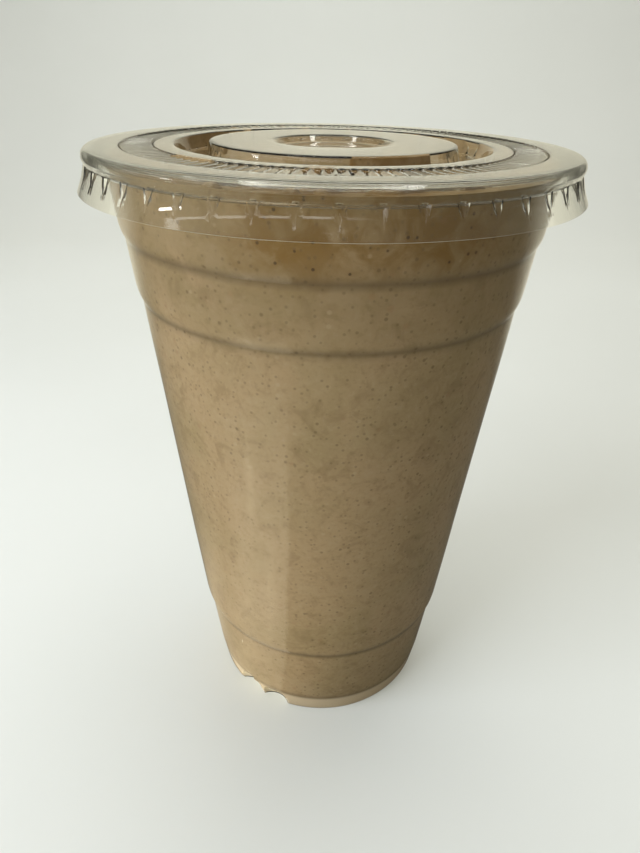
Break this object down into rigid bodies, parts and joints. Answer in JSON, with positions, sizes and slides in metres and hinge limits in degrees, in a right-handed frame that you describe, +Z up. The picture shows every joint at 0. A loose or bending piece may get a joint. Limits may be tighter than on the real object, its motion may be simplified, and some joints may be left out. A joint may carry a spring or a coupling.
{
  "type": "peanut butter smoothie in a lidded plastic cup",
  "caption": "Blended light-brown smoothie filling a clear tapered plastic cup with pressed rings, shut by a clear press-on flat lid",
  "frame": {"origin": "centre of the foot ring, on the surface the cup stands on", "axes": "+Z up along the cup's axis; -Y is the front, the side with the dents at its left foot"},
  "size_m": [0.103, 0.103, 0.1441],
  "materials": {
    "cup_plastic": "clear thin formed plastic, smooth and glossy",
    "smoothie": "opaque blended drink, light brown with fine darker specks, wet where it meets the plastic",
    "lid_plastic": "clear thin formed plastic, glossy, with fine radial ribs"
  },
  "bodies": {
    "root": {"cup": "cup_plastic", "smoothie": "smoothie", "lid": "lid_plastic"}
  },
  "joints": []
}
